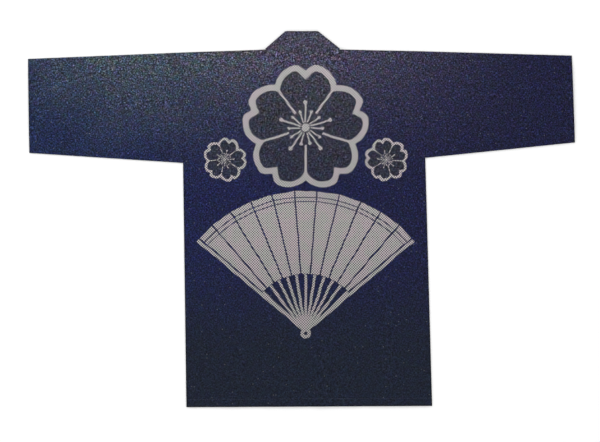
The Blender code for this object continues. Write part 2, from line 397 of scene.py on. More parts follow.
def back_height(x, y, top, sewing):
    """The outer face of the back, over the fronts, the collar bands and the neck seam."""
    off_centre = abs(x - centre_x(y))
    inner = FREE_OFF_CENTRE - BAND_MARGIN
    outer = SEAM_OFF_CENTRE + BAND_MARGIN
    over_band = ease(off_centre, inner - BAND_SLOPE, inner) - ease(off_centre, outer, outer + BAND_SLOPE)
    under = mix(CLOTH + LAYER_GAP, COLLAR_BAND + CAD_SEAM_GAP, over_band)
    to_side = min(x - side_x(LEFT, y), side_x(RIGHT, y) - x)
    on_shoulder = ease(off_centre, SEAM_OFF_CENTRE, SEAM_OFF_CENTRE + SIDE_SLOPE)
    to_shoulder = top - y + SIDE_SLOPE * (1 - on_shoulder)
    inside = ease(min(to_side, to_shoulder), 0, SIDE_SLOPE)
    relief = fold_rise(x, y) + waves(x, y) + hem_relief(y - hem_y(x), sewing)
    under = mix(CLOTH + SEAM_GAP, under + relief, inside)
    near_neck = 1 - ease(top - y, 0, NECK_RISE_LENGTH)
    near_neck *= 1 - ease(off_centre, SEAM_OFF_CENTRE, SEAM_OFF_CENTRE + BAND_SLOPE)
    share = min(max((x - LEFT.neck.x) / (RIGHT.neck.x - LEFT.neck.x), 0), 1)
    middle_of_collar = COLLAR_HEIGHT - (COLLAR_BAND + CLOTH) / 2 - neck_sag(share)
    return mix(under, middle_of_collar, near_neck) + CLOTH


def row_y(along, foot, underarm, top):
    """The y of a row. UNDERARM_AT of the rows lie below the underarm."""
    if along < UNDERARM_AT:
        return mix(foot, underarm, along / UNDERARM_AT)
    return mix(underarm, top, (along - UNDERARM_AT) / (1 - UNDERARM_AT))


def back_surface(across, along, sewing):
    """The back's outer face, from the left side to the right and from the hem to the top edge."""
    left = shoulder_point(LEFT, 1)
    right = shoulder_point(RIGHT, 1)
    top = body_top(mix(left.x, right.x, across))
    foot = mix(LEFT.hem.y, RIGHT.hem.y, across)
    underarm = mix(LEFT.underarm.y, RIGHT.underarm.y, across)
    y = row_y(along, foot, underarm, top)
    x = mix(side_x(LEFT, min(y, left.y)), side_x(RIGHT, min(y, right.y)), across)
    return Vector((x, y, back_height(x, y, top, sewing)))


def front_surface(side, across, along, sewing):
    """A front's outer face, which is down, from left to right and from hem to shoulder."""
    across = 1 - across if side is LEFT else across
    low = collar_seam_low(side) + Vector((side.turn * SEAM_GAP, 0))
    shoulder = shoulder_point(side, across)
    foot_x = mix(low.x, side.hem.x, across)
    foot_y = hem_y(foot_x) + FRONT_SHORTER
    y = row_y(along, foot_y, side.underarm.y, shoulder.y)
    inner = crossing(low, shoulder_point(side, 0), y)
    x = mix(inner, side_x(side, min(y, side.armhole_top.y)), across)
    middle = ease(min(across, 1 - across), 0, FLAT_EDGE_SHARE)
    middle *= ease(min(along, 1 - along), 0, FLAT_HEM_SHARE)
    lift = FRONT_LIFT * middle * (1 + noise.noise(Vector((x, y, 2)) / WAVE_LENGTH))
    in_seam = back_height(shoulder.x, shoulder.y, shoulder.y, sewing) - 2 * CLOTH - SEAM_GAP
    lift += in_seam * (1 - ease(shoulder.y - y, 0, SHOULDER_RISE_LENGTH))
    return Vector((x, y, lift + stitch_dip(y - foot_y, sewing)))


def collar_leg(side, across, along):
    """A band down the front, under the back, flat on its outer face."""
    _, free_top, _ = collar_turn(side)
    low = collar_seam_low(side)
    free_low = low - Vector((side.turn * COLLAR_WIDTH, 0))
    seam = mix(low, collar_seam_top(side), along)
    free = mix(free_low, free_top - turn_shift(side, 1), along)
    return mix(seam, free, across).to_3d()


def collar_fold(side, across, along):
    """The band going round the slanting fold, from the front to the back of the neck."""
    seam, free, _ = collar_turn(side)
    angle = math.pi * along
    place = mix(seam, free, across) + turn_shift(side, across) * (math.sin(angle) - 1)
    return Vector((place.x, place.y, TURN_RADIUS * (1 - math.cos(angle))))


def collar_neck(across, along):
    """The band across the back of the neck, above the two turns and a little puffed."""
    left, right = (collar_turn(side)[1] - turn_shift(side, 1) for side in (LEFT, RIGHT))
    place = mix(neckline(along), mix(left, right, along), across)
    to_corner = ease(min(along, 1 - along), 0, COLLAR_CORNER_SHARE)
    puff = COLLAR_PUFF * math.sin(math.pi * across) + waves(place.x, place.y)
    return Vector((place.x, place.y, COLLAR_HEIGHT - neck_sag(along) + puff * to_corner))


def collar_surface(across, way, sewing):
    """The band's outer face. way counts its stretches: left leg, left fold, neck, right fold, right leg."""
    stretch = min(int(way), 4)
    share = way - stretch
    if stretch == 0:
        place = collar_leg(LEFT, across, share)
    elif stretch == 1:
        place = collar_fold(LEFT, across, share)
    elif stretch == 2:
        place = collar_neck(across, share)
    elif stretch == 3:
        place = collar_fold(RIGHT, across, 1 - share)
    else:
        place = collar_leg(RIGHT, across, 1 - share)
    line = bump_at(across * COLLAR_WIDTH, sewing.collar_stitch, sewing.dip_width)
    inward = 1 if stretch in (0, 4) else -1 if stretch == 2 else 0
    place.z += inward * sewing.stitch_dip * line
    return place


def sleeve_surface(side, around, along, sewing):
    """A sleeve pressed flat. around counts lower layer, top fold, upper layer and bottom seam."""
    inset = Vector((side.turn * SEAM_GAP / 2, 0))
    low = mix(side.underarm + inset, side.cuff_bottom, along)
    high = mix(side.armhole_top + inset, side.cuff_top, along)
    radius = SLEEVE_HEIGHT / 2
    up = (high - low).normalized() * radius
    stretch = int(around) % 4
    share = around - int(around)
    if stretch in (1, 3):
        angle = math.pi * share
        if stretch == 1:
            place = high - up + up * math.sin(angle)
            return Vector((place.x, place.y, radius - radius * math.cos(angle)))
        pinch = SEAM_PINCH * bump_at(share, 0.5, PINCH_SHARE) / radius
        place = low + up - up * (math.sin(angle) - pinch)
        return Vector((place.x, place.y, radius + radius * math.cos(angle)))
    across = 1 - share if stretch == 2 else share
    place = mix(low + up, high - up, across)
    length = (side.cuff_top - side.armhole_top).length
    from_cuff = (1 - along) * length
    flat = ease(across, 0, FLAT_EDGE_SHARE) * (1 - ease(across, 1 - FLAT_EDGE_SHARE, 1))
    if stretch == 0:
        return Vector((place.x, place.y, stitch_dip(from_cuff, sewing) * flat))
    lift = fold_rise(place.x, place.y) + waves(place.x, place.y)
    lift += CUFF_LIFT * ease(along, CUFF_LIFT_FROM, 1) + hem_relief(from_cuff, sewing)
    from_armhole = along * length
    allowance_end = sewing.allowance + ARMHOLE_SLOPE
    lift += sewing.allowance_rise * (1 - ease(from_armhole, sewing.allowance, allowance_end))
    off_seam = ease(from_armhole, 0, ARMHOLE_SLOPE)
    seam_dip = (LAYER_GAP - SEAM_GAP) * (1 - off_seam)
    return Vector((place.x, place.y, SLEEVE_HEIGHT + lift * flat * off_seam - seam_dip))


def label(name):
    """A socket's name from a value's name: left_navy is Left Navy."""
    return name.replace("_", " ").title()


class Wires:
    """Adds nodes to one tree and joins them, so that a pattern reads as a few lines of arithmetic."""

    def __init__(self, tree):
        self.tree = tree

    def add(self, kind, inputs=None, **settings):
        node = self.tree.nodes.new(kind)
        for name, value in settings.items():
            setattr(node, name, value)
        for name, value in (inputs or {}).items():
            self.feed(node.inputs[name], value)
        return node

    def feed(self, socket, value):
        """Joins another node's output to a socket, or sets the socket's own value."""
        if isinstance(value, bpy.types.NodeSocket):
            self.tree.links.new(value, socket)
        else:
            socket.default_value = (*value, 1) if socket.type == "RGBA" else value

    def math(self, operation, *values):
        node = self.add("ShaderNodeMath", operation=operation)
        for socket, value in zip(node.inputs, values):
            self.feed(socket, value)
        return node.outputs["Value"]

    def minus(self, first, second):
        return self.math("SUBTRACT", first, second)

    def scaled(self, value, scale, plus):
        return self.math("MULTIPLY_ADD", value, scale, plus)

    def times(self, *values):
        return reduce(partial(self.math, "MULTIPLY"), values)

    def union(self, *masks):
        return reduce(partial(self.math, "MAXIMUM"), masks)

    def vector(self, operation, *values):
        node = self.add("ShaderNodeVectorMath", operation=operation)
        inputs = [socket for socket in node.inputs if socket.enabled]
        for socket, value in zip(inputs, values):
            self.feed(socket, value)
        return next(socket for socket in node.outputs if socket.enabled)

    def x_and_y(self, vector):
        parts = self.add("ShaderNodeSeparateXYZ", {"Vector": vector}).outputs
        return parts["X"], parts["Y"]

    def length(self, x, y):
        return self.math("SQRT", self.math("ADD", self.times(x, x), self.times(y, y)))

    def step(self, value, start, end, shape="SMOOTHSTEP"):
        """0 before start and 1 after end, and between the two in between. start may be the larger one."""
        inputs = {"Value": value, "From Min": start, "From Max": end}
        return self.add("ShaderNodeMapRange", inputs, interpolation_type=shape).outputs["Result"]

    def below(self, value, limit, soft):
        """1 where a value is under a limit, with a soft edge."""
        return self.step(value, limit + soft, limit - soft)

    def above(self, value, limit, soft):
        return self.step(value, limit - soft, limit + soft)

    def colour_mix(self, share, first, second):
        node = self.add("ShaderNodeMix", {"Factor": share}, data_type="RGBA")
        colours = [socket for socket in node.inputs if socket.type == "RGBA"]
        for socket, colour in zip(colours, (first, second)):
            self.feed(socket, colour)
        return next(socket for socket in node.outputs if socket.type == "RGBA")

    def noise(self, vector, size, detail=2.0, rough=0.5, output="Fac"):
        inputs = {"Vector": vector, "Scale": 1 / size, "Detail": detail, "Roughness": rough}
        return self.add("ShaderNodeTexNoise", inputs).outputs[output]

    def bump(self, height, strength, distance):
        inputs = {"Height": height, "Strength": strength, "Distance": distance}
        return self.add("ShaderNodeBump", inputs).outputs["Normal"]

    def place(self, effect, **values):
        """Puts an effect's node group in the tree with its own values. The group is built only once."""
        tree = bpy.data.node_groups.get(effect.__name__) or effect()
        node = self.add("ShaderNodeGroup", node_tree=tree)
        for name, value in values.items():
            self.feed(node.inputs[label(name)], value)
        return node.outputs

    def round_centre(self, entry):
        """Distance from a motif's centre, and angle from straight up."""
        x, y = self.x_and_y(entry["Vector"])
        x = self.minus(x, entry["Centre X"])
        y = self.minus(y, entry["Centre Y"])
        return self.length(x, y), self.math("ARCTAN2", x, y)


def new_group(name, inputs, outputs):
    """A shader node group with named inputs and outputs, ready to be wired."""
    tree = bpy.data.node_groups.new(name, "ShaderNodeTree")
    for socket_name, default in inputs.items():
        kind = "NodeSocketVector" if default is None else "NodeSocketFloat"
        if isinstance(default, tuple):
            kind = "NodeSocketColor"
            default = (*default, 1)
        socket = tree.interface.new_socket(name=socket_name, in_out="INPUT", socket_type=kind)
        if default is not None:
            socket.default_value = default
    for socket_name in outputs:
        kind = "NodeSocketColor" if socket_name == "Color" else "NodeSocketFloat"
        tree.interface.new_socket(name=socket_name, in_out="OUTPUT", socket_type=kind)
    wires = Wires(tree)
    return tree, wires, wires.add("NodeGroupInput").outputs, wires.add("NodeGroupOutput").inputs


def plain_weave():
    """Plain weave: threads over and under at right angles, with slubs."""
    inputs = {"Vector": None, "Thread": 0.0007, "Slub Depth": 1.2}
    tree, wires, entry, leave = new_group("plain_weave", inputs, ["Height", "Slub"])
    turns = wires.math("DIVIDE", math.pi, entry["Thread"])
    across, along = (wires.times(part, turns) for part in wires.x_and_y(entry["Vector"]))
    warp, weft = (wires.math("ABSOLUTE", wires.math("SINE", part)) for part in (across, along))
    over = wires.times(wires.math("COSINE", across), wires.math("COSINE", along))
    woven = wires.scaled(wires.minus(weft, warp), wires.above(over, 0, 0.3), warp)
    stretched = [wires.vector("DIVIDE", entry["Vector"], size) for size in SLUB_SIZES]
    slubs = [wires.noise(vector, 1.0, detail=1) for vector in stretched]
    slub = wires.times(wires.math("ADD", *slubs), 0.5)
    wires.feed(leave["Slub"], slub)
    wires.feed(leave["Height"], wires.scaled(slub, entry["Slub Depth"], woven))
    return tree


def dyed_cotton():
    """Cotton: navy dye, darker and greener low down; paler towards the top left from fade and painted
    sheen, with stronger fleck contrast there as painted glints; painted shade on folds and outer edges.
    """
    inputs = {"Vector": None}
    inputs.update({label(name): PLAIN_NAVY for name in (*DYES, "ink")})
    inputs.update({"Inked": 0.0, "Slub": 0.5, "Edge": 0.0, "Flecks": 1.0, "Fading": 1.0})
    tree, wires, entry, leave = new_group("dyed_cotton", inputs, ["Color"])
    cloud = wires.noise(entry["Vector"], CLOUD_SIZE, detail=3, rough=0.55)
    cloud = wires.scaled(cloud, CLOUD_SHIFT, -CLOUD_SHIFT / 2)
    x, y = (wires.math("ADD", part, cloud) for part in wires.x_and_y(entry["Vector"]))
    tone = wires.colour_mix(wires.step(x, *TO_MIDDLE_NAVY), entry["Right Navy"], entry["Middle Navy"])
    tone = wires.colour_mix(wires.step(x, *TO_LEFT_NAVY), tone, entry["Left Navy"])
    tone = wires.colour_mix(wires.step(y, *TO_LOW_NAVY), tone, entry["Low Navy"])
    # Fade and painted sheen: paler tones towards the top, weaker near the left cuff and towards the right
    upward = wires.math("POWER", wires.step(y, *FADES_UPWARD, "LINEAR"), FADING_CURVE)
    from_cuff = wires.step(x, *FADES_FROM_CUFF)
    from_cuff = wires.scaled(from_cuff, 1 - FADING_AT_CUFF, FADING_AT_CUFF)
    fading = wires.times(upward, from_cuff, wires.step(x, *FADES_FROM_RIGHT), entry["Fading"])
    faded = wires.colour_mix(wires.step(x, *TO_RIGHT_FADED), entry["Left Faded"], entry["Right Faded"])
    tone = wires.colour_mix(fading, tone, faded)
    tone = wires.colour_mix(entry["Inked"], tone, entry["Ink"])
    # Fleck contrast grows upward and under the fade; the extra is painted glint of the weave
    strength = wires.scaled(wires.step(y, *FLECKS_UPWARD), FLECKS_HIGH, FLECKS_LOW)
    strength = wires.times(wires.scaled(fading, FLECKS_FADED, strength), entry["Flecks"])
    tints = wires.noise(entry["Vector"], TINT_SIZE, output="Color")
    tints = wires.vector("MULTIPLY", wires.vector("SUBTRACT", tints, MID_TONE), TINTS)
    tints = wires.vector("ADD", wires.vector("SCALE", tints, strength), WHOLE)
    # Painted shade: folds and outer edges darker, most of all in blue
    edge = wires.math("POWER", entry["Edge"], EDGE_CURVE)
    deeper = wires.vector("MULTIPLY_ADD", edge, DEEPER_EDGE, WHOLE)
    tone = wires.vector("MULTIPLY", wires.vector("MULTIPLY", tone, tints), deeper)
    light = wires.math("POWER", wires.times(entry["Slub"], 2.0), strength)
    tone = wires.vector("SCALE", tone, light)
    # Pale specks, more of them under the fade and painted sheen
    cells = {"Vector": entry["Vector"], "Scale": 1 / NEP_CELL}
    neps = wires.add("ShaderNodeTexVoronoi", cells, voronoi_dimensions="2D").outputs
    choice = wires.add("ShaderNodeSeparateColor", {"Color": neps["Color"]}).outputs
    nep = wires.times(
        wires.below(neps["Distance"], NEP_RADIUS, 0.04),
        wires.above(choice["Red"], NEP_CHOICE, 0.005),
        wires.scaled(fading, 0.65, 0.20),
    )
    wires.feed(leave["Color"], wires.colour_mix(nep, tone, entry["Nep"]))
    return tree


def blossom():
    """A five-petalled blossom drawn in a broad line, with its stamens. All sizes are shares of Size."""
    inputs = {"Vector": None, "Centre X": 0.0, "Centre Y": 0.0, "Size": 0.15, "Turn": 0.0, "Line": 0.09}
    tree, wires, entry, leave = new_group("blossom", inputs, ["Line", "Inside", "Cover"])
    soft = 0.004
    distance, angle = wires.round_centre(entry)
    radius = wires.math("DIVIDE", distance, entry["Size"])
    angle = wires.math("ADD", angle, entry["Turn"])
    from_axis = wires.math("PINGPONG", wires.math("ADD", angle, math.tau), math.pi / 5)

    def out_and_aside(bearing):
        return (wires.times(radius, wires.math(wave, bearing)) for wave in ("COSINE", "SINE"))

    out, aside = out_and_aside(from_axis)
    lobe = wires.length(wires.minus(out, LOBE_OUT), wires.minus(aside, LOBE_ASIDE))
    notch = wires.times(wires.minus(wires.minus(out, NOTCH_OUT), aside), math.sqrt(0.5))
    petal = wires.math("SMOOTH_MAX", wires.minus(lobe, LOBE_RADIUS), notch, PETAL_ROUNDING)
    heart = wires.minus(radius, HEART_RADIUS)
    drawn_in = wires.math("ADD", petal, entry["Line"])
    inside = wires.below(wires.math("MINIMUM", drawn_in, heart), 0, soft)
    edge = wires.math("MINIMUM", petal, heart)
    whole = wires.below(edge, 0, soft)
    _, aside = out_and_aside(wires.minus(math.pi / 5, from_axis))
    outer = wires.step(radius, PARTING_START, PARTING_START + START_STEP)
    parting = wires.times(wires.below(aside, PARTING_HALF, soft), outer, whole)
    strokes = [wires.minus(whole, inside), parting]
    for stamen in STAMENS:
        out, aside = out_and_aside(wires.minus(from_axis, stamen.lean))
        aside = wires.math("ABSOLUTE", aside)
        stem = wires.times(
            wires.below(aside, stamen.half_width, soft),
            wires.step(out, STAMEN_START, STAMEN_START + START_STEP),
            wires.below(out, stamen.end, soft),
        )
        tip = wires.length(wires.minus(out, stamen.end), aside)
        strokes += [stem, wires.below(tip, stamen.tip, soft)]
    strokes.append(wires.below(radius, BUTTON_RADIUS, soft))
    wires.feed(leave["Line"], wires.union(*strokes))
    wires.feed(leave["Inside"], inside)
    wires.feed(leave["Cover"], wires.below(edge, BLOSSOM_MARGIN, soft))
    return tree


def open_fan():
    """An open folding fan: pleated leaf, ribs, guards and pivot. Angles are from straight up."""
    inputs = {"Vector": None, "Centre X": 0.0, "Centre Y": 0.0, "Radius": 0.3, "Leaf Start": 0.4}
    inputs.update({"Spread": 1.0, "Pleat": 0.15, "Parting": 0.002})
    tree, wires, entry, leave = new_group("open_fan", inputs, ["Line"])
    soft = 0.0004
    radius, angle = wires.round_centre(entry)
    half_pleat = wires.math("DIVIDE", entry["Pleat"], 2.0)
    from_fold = wires.math("PINGPONG", wires.math("ADD", angle, entry["Spread"]), half_pleat)
    from_rib = wires.minus(half_pleat, from_fold)
    from_side = wires.minus(entry["Spread"], wires.math("ABSOLUTE", angle))
    bearings = (from_fold, from_rib, from_side)
    to_fold, to_rib, to_side = (wires.times(radius, wires.math("SINE", bearing)) for bearing in bearings)
    within = wires.above(to_side, 0, soft)
    flat_end = wires.times(radius, wires.math("COSINE", from_rib))
    end = wires.times(entry["Radius"], wires.math("COSINE", half_pleat))
    before_end = wires.above(wires.minus(end, flat_end), 0, soft)
    leaf_start = wires.times(entry["Radius"], entry["Leaf Start"])
    in_leaf = wires.above(wires.minus(radius, leaf_start), 0, soft)
    off_fold = wires.above(wires.minus(to_fold, entry["Parting"]), 0, soft)
    leaf = wires.times(within, before_end, in_leaf, off_fold)
    for place in LEAF_LINES_AT:
        away = wires.minus(wires.math("DIVIDE", radius, entry["Radius"]), place)
        away = wires.times(wires.math("ABSOLUTE", away), entry["Radius"])
        leaf = wires.times(leaf, wires.above(away, LEAF_LINE / 2, soft))
    off_rivet = wires.above(radius, RIVET_RADIUS, 0.0005)
    before_leaf = wires.step(wires.minus(leaf_start, radius), -soft, 0.0030)
    rib = wires.times(wires.below(to_rib, RIB_WIDTH / 2, soft), within, off_rivet, before_leaf)
    guard = wires.times(wires.below(to_side, GUARD_WIDTH, soft), within, before_end, off_rivet)
    beside_guard = wires.times(wires.below(to_side, GUARD_WIDTH + GUARD_GAP, soft), within)
    open_leaf = wires.times(leaf, wires.minus(1.0, beside_guard))
    pivot = wires.times(wires.below(radius, PIVOT_RADIUS, soft), off_rivet)
    wires.feed(leave["Line"], wires.union(open_leaf, rib, guard, pivot))
    return tree


def screen_check():
    """The fine slanting check that a printing screen leaves in its paler ink."""
    tree, wires, entry, leave = new_group("screen_check", {"Vector": None, "Pitch": 0.0042}, ["Check"])
    turns = wires.math("DIVIDE", math.tau, entry["Pitch"])
    across, along = wires.x_and_y(entry["Vector"])
    across, along = (wires.math("SINE", wires.times(part, turns)) for part in (across, along))
    wires.feed(leave["Check"], wires.above(wires.times(across, along), 0, 0.35))
    return tree


def new_material(name):
    """A new material with its Principled shader, its wires and Object coordinates."""
    material = bpy.data.materials.new(name)
    material.use_nodes = True
    wires = Wires(material.node_tree)
    shader = material.node_tree.nodes["Principled BSDF"].inputs
    coordinates = wires.add("ShaderNodeTexCoord").outputs["Object"]
    return material, wires, shader, coordinates


def dyed_material(name, cloth, fading=1.0, flecks=1.0):
    """Navy cotton with its dye, fleck grain, weave and soft sheen, and with painted sheen, painted glints
    and painted edge shade in its colour. Returns what a print needs too.
    """
    material, wires, shader, coordinates = new_material(name)
    weave = wires.place(plain_weave, vector=coordinates, thread=cloth.thread)
    dye = wires.place(
        dyed_cotton,
        vector=coordinates,
        slub=weave["Slub"],
        # The edge mark darkens folds and outer edges as painted shade
        edge=wires.add("ShaderNodeAttribute", attribute_name="edge").outputs["Fac"],
        flecks=cloth.flecks * flecks,
        fading=cloth.fading * fading,
        **{dye: getattr(cloth, dye) for dye in DYES},
    )
    rough = wires.scaled(wires.noise(coordinates, TINT_SIZE), ROUGHNESS_RANGE, ROUGHNESS)
    wires.feed(shader["Base Color"], dye["Color"])
    wires.feed(shader["Roughness"], rough)
    wires.feed(shader["Normal"], wires.bump(weave["Height"], WEAVE_STRENGTH, WEAVE_RELIEF))
    shader["Specular IOR Level"].default_value = 0.12
    shader["Sheen Weight"].default_value = 0.05
    shader["Sheen Roughness"].default_value = 0.45
    shader["Sheen Tint"].default_value = SHEEN_TINT
    return material, wires, shader, coordinates, dye["Color"], rough


def printed_material(cloth, ink):
    """The back's cotton with its screen print: a large blossom, two small ones and an open fan."""
    material, wires, shader, coordinates, dyed, rough = dyed_material("printed_navy_cotton", cloth)
    check = wires.place(screen_check, vector=coordinates, pitch=ink.screen_pitch)["Check"]
    rough_edge = wires.scaled(check, ink.edge_bite, -ink.edge_bite / 2)
    drift = wires.noise(coordinates, 0.030, detail=1, output="Color")
    drift = wires.vector("SCALE", wires.vector("SUBTRACT", drift, MID_TONE), ink.drift)
    drawn = wires.vector("ADD", coordinates, wires.vector("ADD", drift, rough_edge))
    blossoms = []
    for turn in (0, -1, 1):
        size = ink.small_size if turn else ink.blossom_size
        outline = ink.outline * (SMALL_OUTLINE_SHARE if turn else 1)
        blossoms.append(
            wires.place(
                blossom,
                vector=drawn,
                centre_x=ink.centre_x + turn * ink.small_off_centre,
                centre_y=ink.small_y if turn else ink.blossom_y,
                size=size,
                turn=turn * SMALL_TURN,
                line=outline / size,
            )
        )
    fan = wires.place(
        open_fan,
        vector=drawn,
        centre_x=ink.centre_x,
        centre_y=ink.fan_y,
        radius=ink.fan_radius,
        leaf_start=ink.leaf_start,
        spread=ink.fan_spread,
        pleat=2 * ink.fan_spread / ink.pleats,
        parting=ink.parting / 2,
    )
    masks = ("Line", "Cover", "Inside")
    lines, covers, insides = (wires.union(*[one[mask] for one in blossoms]) for mask in masks)
    inked = wires.union(lines, wires.times(fan["Line"], wires.minus(1.0, covers)))
    mottle = wires.above(wires.noise(coordinates, 0.032), 0.5, 0.15)
    grey = wires.colour_mix(mottle, ink.grey, ink.cool_grey)
    grey = wires.colour_mix(check, ink.grey_gap, grey)
    _, y = wires.x_and_y(coordinates)
    grey = wires.vector("SCALE", grey, wires.scaled(y, ink.paler_upward, ink.strength))
    wires.feed(dyed.node.inputs["Inked"], wires.times(insides, ink.fill_share))
    wires.feed(dyed.node.inputs["Ink"], ink.fill)
    wires.feed(shader["Base Color"], wires.colour_mix(inked, dyed, grey))
    wires.feed(shader["Roughness"], wires.scaled(inked, -SMOOTHER_INK, rough))
    return material


def inside_material(cloth):
    """The cotton's inner face, made once."""
    found = bpy.data.materials.get("navy_cotton_inside")
    return found or dyed_material("navy_cotton_inside", cloth, fading=0.3, flecks=0.7)[0]


def thread_material(colour):
    """Sewing thread with twisted plies, painted darker in their grooves as shade, made once."""
    found = bpy.data.materials.get("navy_thread")
    if found:
        return found
    material, wires, shader, coordinates = new_material("navy_thread")
    bands = {"Vector": coordinates, "Scale": 900, "Distortion": 1.5}
    twist = wires.add("ShaderNodeTexWave", bands, bands_direction="DIAGONAL").outputs["Fac"]
    # The grooves of the thread are painted darker as shade
    tone = wires.colour_mix(twist, [part * 0.7 for part in colour], colour)
    wires.feed(shader["Base Color"], tone)
    wires.feed(shader["Normal"], wires.bump(twist, 0.5, 0.0001))
    shader["Roughness"].default_value = 0.55
    shader["Sheen Weight"].default_value = 0.2
    return material


def floor_material(colour):
    """A plain pale floor with the faintest mottle."""
    material, wires, shader, coordinates = new_material("pale_floor")
    mottle = wires.noise(coordinates, 0.4, detail=3)
    wires.feed(shader["Base Color"], wires.colour_mix(mottle, [part * 0.985 for part in colour], colour))
    shader["Roughness"].default_value = 0.9
    shader["Specular IOR Level"].default_value = 0.1
    return material


def mesh_from(name, shape, materials):
    mesh = bpy.data.meshes.new(name)
    shape.to_mesh(mesh)
    shape.free()
    for material in materials:
        mesh.materials.append(material)
    return mesh


def put(name, data):
    """Puts a mesh, light or camera in the scene."""
    thing = bpy.data.objects.new(name, data)
    bpy.context.scene.collection.objects.link(thing)
    return thing


def add_piece(name, shape, materials):
    """Turns a bmesh into a named, smooth piece that rides on the coat's body."""
    mesh = mesh_from(name, shape, materials)
    mesh.shade_smooth()
    piece = put(name, mesh)
    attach(piece, "root")
    return piece


def give_wall(piece, wall=CLOTH, rim=CLOTH_RIM, rim_cells=3):
    """Gives an outer face its wall and rounds the rim, as a folded or seamed edge is."""
    thickness = piece.modifiers.new("cloth wall", "SOLIDIFY")
    thickness.thickness = wall
    thickness.offset = -1
    thickness.use_even_offset = True
    thickness.material_offset = len(piece.data.materials) - 1
    rounding = piece.modifiers.new("soft rim", "BEVEL")
    rounding.width = rim
    rounding.segments = rim_cells
    rounding.limit_method = "ANGLE"
    rounding.angle_limit = math.radians(60)
    rounding.use_clamp_overlap = False


def in_seam(place):
    """Whether a place on a panel's edge is sewn to another panel at an armhole or at the neck."""
    for side in (LEFT, RIGHT):
        if place.y > side.underarm.y and abs(place.x - side_x(side, place.y)) < NEAR_SEAM:
            return True
    left = shoulder_point(LEFT, 0).x
    right = shoulder_point(RIGHT, 0).x
    share = (place.x - left) / (right - left)
    return 0 < share < 1 and abs(place.y - neckline(share).y) < NEAR_SEAM


def mark_edges(shape):
    """Marks the folds and the outer edges, where the colour is painted darker as shade."""
    shape.normal_update()
    layer = shape.verts.layers.float.new("edge")
    for vert in shape.verts:
        folded = abs(vert.normal.z) < STEEP
        vert[layer] = float(folded or (vert.is_boundary and not in_seam(vert.co)))


def sheet_shape(columns, rows, surface, outer_face_down):
    """A grid laid on a surface, with a column at each share across and a row at each place along."""
    shape = bmesh.new()
    bmesh.ops.create_grid(shape, x_segments=len(columns) - 1, y_segments=len(rows) - 1, size=0.5)
    for vert in shape.verts:
        across = columns[round((vert.co.x + 0.5) * (len(columns) - 1))]
        along = rows[round((vert.co.y + 0.5) * (len(rows) - 1))]
        vert.co = surface(across, along)
    if outer_face_down:
        bmesh.ops.reverse_faces(shape, faces=shape.faces)
    mark_edges(shape)
    return shape


def tube_shape(rounds, rows, surface, inside_out):
    """An open tube laid on a surface, with a line of corners at each place around."""
    shape = bmesh.new()
    bmesh.ops.create_cone(shape, cap_ends=False, segments=len(rounds), radius1=1, radius2=1, depth=1)
    lengthwise = [edge for edge in shape.edges if abs(edge.verts[0].co.z - edge.verts[1].co.z) > 0.5]
    bmesh.ops.subdivide_edges(shape, edges=lengthwise, cuts=len(rows) - 2, use_grid_fill=True)
    for vert in shape.verts:
        cell = round(math.atan2(vert.co.x, vert.co.y) / math.tau * len(rounds)) % len(rounds)
        row = round((vert.co.z + 0.5) * (len(rows) - 1))
        vert.co = surface(rounds[cell], rows[row])
    if inside_out:
        bmesh.ops.reverse_faces(shape, faces=shape.faces)
    mark_edges(shape)
    return shape


def sew(shape, surface, start, end, upward, sewing):
    """Lays stitches on a surface from one place on it to another, each a small rounded thread."""
    along = (end - start).normalized()
    sideways = Vector((-along.y, along.x)) * SIDE_STEP
    path = [surface(*mix(start, end, index / SEWING_STEPS)) for index in range(SEWING_STEPS + 1)]
    size = Matrix.Diagonal((sewing.stitch_length / 2, sewing.thread / 2, sewing.thread / 2, 1))
    since = sewing.stitch_length / 2
    for index in range(SEWING_STEPS):
        here, there = path[index], path[index + 1]
        length = (there - here).length
        while since < length:
            beside = surface(*(mix(start, end, index / SEWING_STEPS) + sideways))
            forward = (there - here).normalized()
            up = forward.cross(beside - here).normalized()
            up *= 1 if up.z * upward > 0 else -1
            turn = Matrix((forward, up.cross(forward), up)).transposed().to_4x4()
            place = mix(here, there, since / length) + up * sewing.thread * THREAD_PROUD
            matrix = Matrix.Translation(place) @ turn @ size
            bmesh.ops.create_icosphere(shape, subdivisions=THREAD_FACES, radius=1, matrix=matrix)
            since += sewing.stitch_length + sewing.stitch_gap
        since -= length


def add_stitches(name, lines, surface, sewing):
    """One piece of stitches. A line is its two ends on the surface, and 1 for the top or -1 for below."""
    shape = bmesh.new()
    for start, end, upward in lines:
        sew(shape, surface, Vector(start), Vector(end), upward, sewing)
    return add_piece(name, shape, [thread_material(sewing.thread_colour)])


def make_panel(node, shape, cottons, stitches, lines, surface, sewing, slot="navy_cotton", **wall):
    """Puts a panel with its wall, and its lines of stitches, in place of a node of the model."""
    piece = add_piece(f"{node}_cloth", shape, cottons)
    give_wall(piece, **wall)
    line = add_stitches(stitches, lines, surface, sewing)
    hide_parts(node)
    return piece, line


def body_rows(height, cell, sewing):
    """The rows of the back or a front from hem to shoulder, fine beside the hem's stitches."""
    low = places(height * UNDERARM_AT, cell, [stitch_place(sewing)])
    high = places(height * (1 - UNDERARM_AT), cell)[1:]
    return [share * UNDERARM_AT for share in low] + [mix(UNDERARM_AT, 1, share) for share in high]


def colour(name, description, default):
    return FloatVectorProperty(name=name, description=description, subtype="COLOR", default=default)


def measure(name, description, default):
    return FloatProperty(name=name, description=description, unit="LENGTH", precision=5, default=default)


def factor(name, description, default):
    return FloatProperty(name=name, description=description, subtype="FACTOR", default=default)


